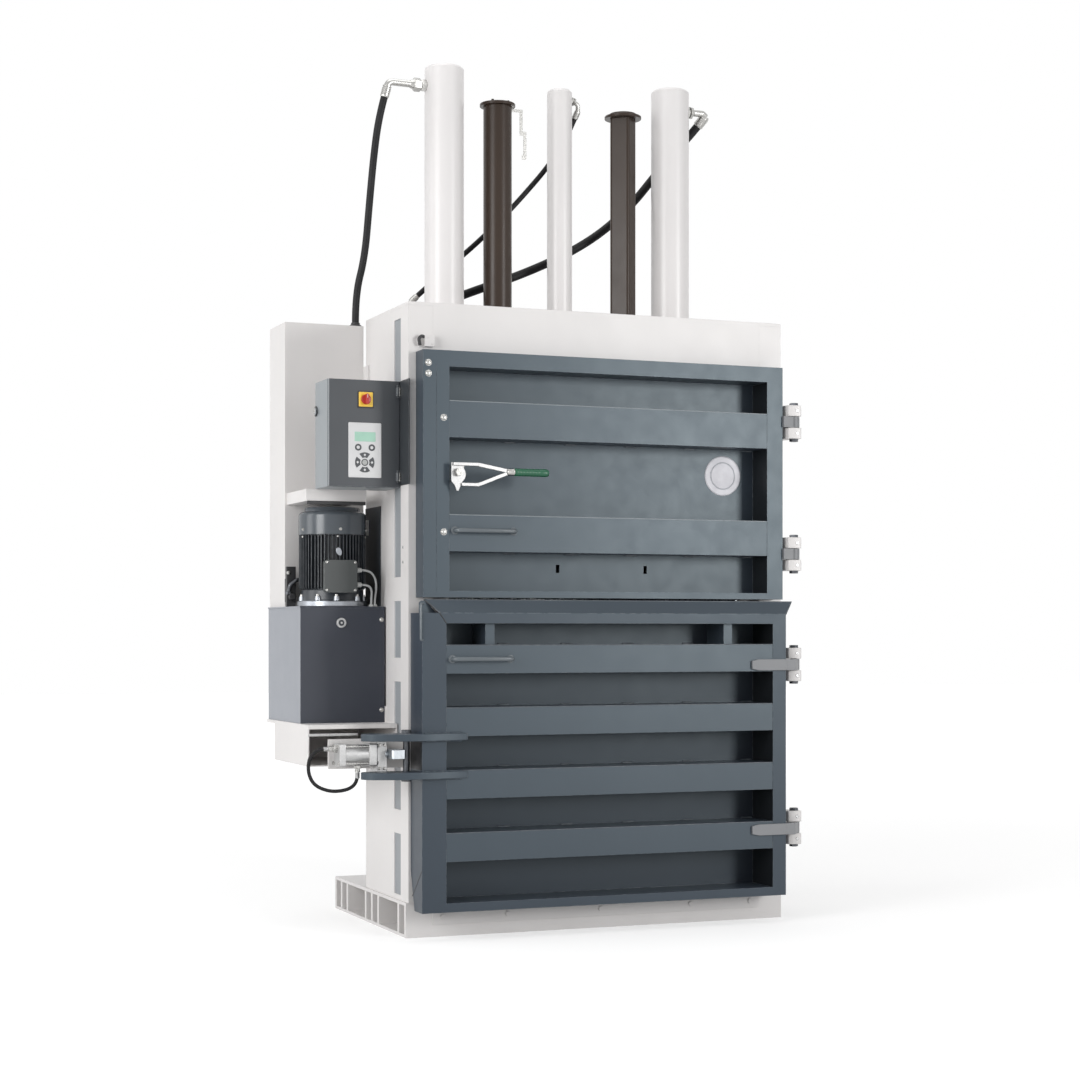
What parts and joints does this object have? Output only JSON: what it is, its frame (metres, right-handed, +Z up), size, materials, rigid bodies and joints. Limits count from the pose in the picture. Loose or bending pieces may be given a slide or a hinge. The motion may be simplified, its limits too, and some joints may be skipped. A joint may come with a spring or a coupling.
{
  "type": "recycling baler",
  "caption": "Upright hydraulic baling press with two ribbed side-hung doors, rams and guide tubes standing above, and a power pack and cabinet on its left side.",
  "frame": {"origin": "centre of the base's underside, on the floor", "axes": "+Z up, +X towards the door hinges, -Y out of the doors"},
  "size_m": [1.9876, 1.1014, 3.328],
  "materials": {
    "frame_white": "satin powder coat",
    "door_slate": "satin powder coat",
    "tank_slate": "satin powder coat",
    "guide_brown": "dark brown oiled steel",
    "bright_steel": "machined",
    "zinc": "zinc plated",
    "motor_grey": "painted casting",
    "alloy": "machined",
    "hose_black": "matt",
    "cable_grey": "matt",
    "grip_green": "dipped grip",
    "disc_grey": "printed film",
    "keypad_grey": "film keypad",
    "switch_yellow": "moulded",
    "switch_red": "moulded",
    "duct_grey": "sheet metal",
    "gear_grey": "moulded switchgear",
    "gland_black": "moulded"
  },
  "bodies": {
    "frame": {"base_frame": "frame_white", "base_sill": "frame_white", "column_left": "frame_white", "column_right": "frame_white", "chamber_liner": "bright_steel", "chamber_floor": "bright_steel", "crosshead": "frame_white", "barrels": "frame_white", "hinge_blocks": "frame_white", "oil_tank": "tank_slate", "tank_lid": "tank_slate", "tank_console": "frame_white", "motor_housing": "motor_grey", "motor_flange": "alloy", "motor_cowl": "motor_grey", "terminal_box": "tank_slate", "valve_block": "gland_black", "hose_cover": "frame_white", "cabinet_body": "door_slate", "cabinet_panel": "door_slate", "cable_duct": "duct_grey", "cabinet_gear": "gear_grey", "lock_bracket": "frame_white", "lock_cylinder": "zinc", "hose_left": "hose_black", "hose_middle": "hose_black", "hose_right": "hose_black", "lock_hose": "hose_black", "motor_cable_upper": "cable_grey", "motor_cable_lower": "cable_grey", "hose_fittings": "zinc", "cable_glands": "gland_black"},
    "ram": {"platen": "bright_steel", "piston_rods": "bright_steel", "guide_tubes": "guide_brown", "guide_caps": "guide_brown", "switch_strip": "zinc"},
    "upper_door": {"upper_door_shell": "door_slate", "upper_door_ribs": "door_slate", "upper_door_leaves": "door_slate", "upper_door_handle": "door_slate", "upper_door_bolts": "zinc", "door_disc": "disc_grey", "latch_bracket": "door_slate"},
    "latch": {"latch_lever": "zinc", "latch_grip": "grip_green"},
    "lower_door": {"lower_door_shell": "door_slate", "lower_door_rails": "door_slate", "lower_door_hooks": "door_slate", "lower_door_lip": "door_slate", "lower_door_leaves": "door_slate", "lower_door_handle": "door_slate", "lock_arms": "door_slate"},
    "lock_claw": {"lock_claw": "zinc"},
    "cabinet_door": {"cabinet_door": "door_slate", "keypad": "keypad_grey", "switch_plate": "switch_yellow"},
    "main_switch": {"switch_knob": "switch_red"},
    "rotor": {"motor_rotor": "alloy"}
  },
  "joints": [
    {"name": "press_stroke", "type": "slide", "parent": "frame", "child": "ram", "axis": [0, 0, -1], "range_m": [0, 0.83]},
    {"name": "upper_door_swing", "type": "hinge", "parent": "frame", "child": "upper_door", "pos_m": [0.789, -0.543, 1.69], "axis": [0, 0, 1], "range_deg": [0, 115]},
    {"name": "latch_lift", "type": "hinge", "parent": "upper_door", "child": "latch", "pos_m": [-0.619, -0.583, 1.708], "axis": [0, -1, 0], "range_deg": [0, 60]},
    {"name": "lower_door_swing", "type": "hinge", "parent": "frame", "child": "lower_door", "pos_m": [0.789, -0.543, 0.68], "axis": [0, 0, 1], "range_deg": [0, 115]},
    {"name": "lock_slide", "type": "slide", "parent": "frame", "child": "lock_claw", "axis": [1, 0, 0], "range_m": [0, 0.031]},
    {"name": "cabinet_door_swing", "type": "hinge", "parent": "frame", "child": "cabinet_door", "pos_m": [-0.785, -0.388, 1.86], "axis": [0, 0, 1], "range_deg": [0, 88]},
    {"name": "switch_turn", "type": "hinge", "parent": "cabinet_door", "child": "main_switch", "pos_m": [-0.908, -0.385, 1.982], "axis": [0, -1, 0], "range_deg": [0, 90]},
    {"name": "motor_spin", "type": "hinge", "parent": "frame", "child": "rotor", "pos_m": [-0.943, -0.063, 1.4], "axis": [0, 0, 1], "continuous": true}
  ]
}
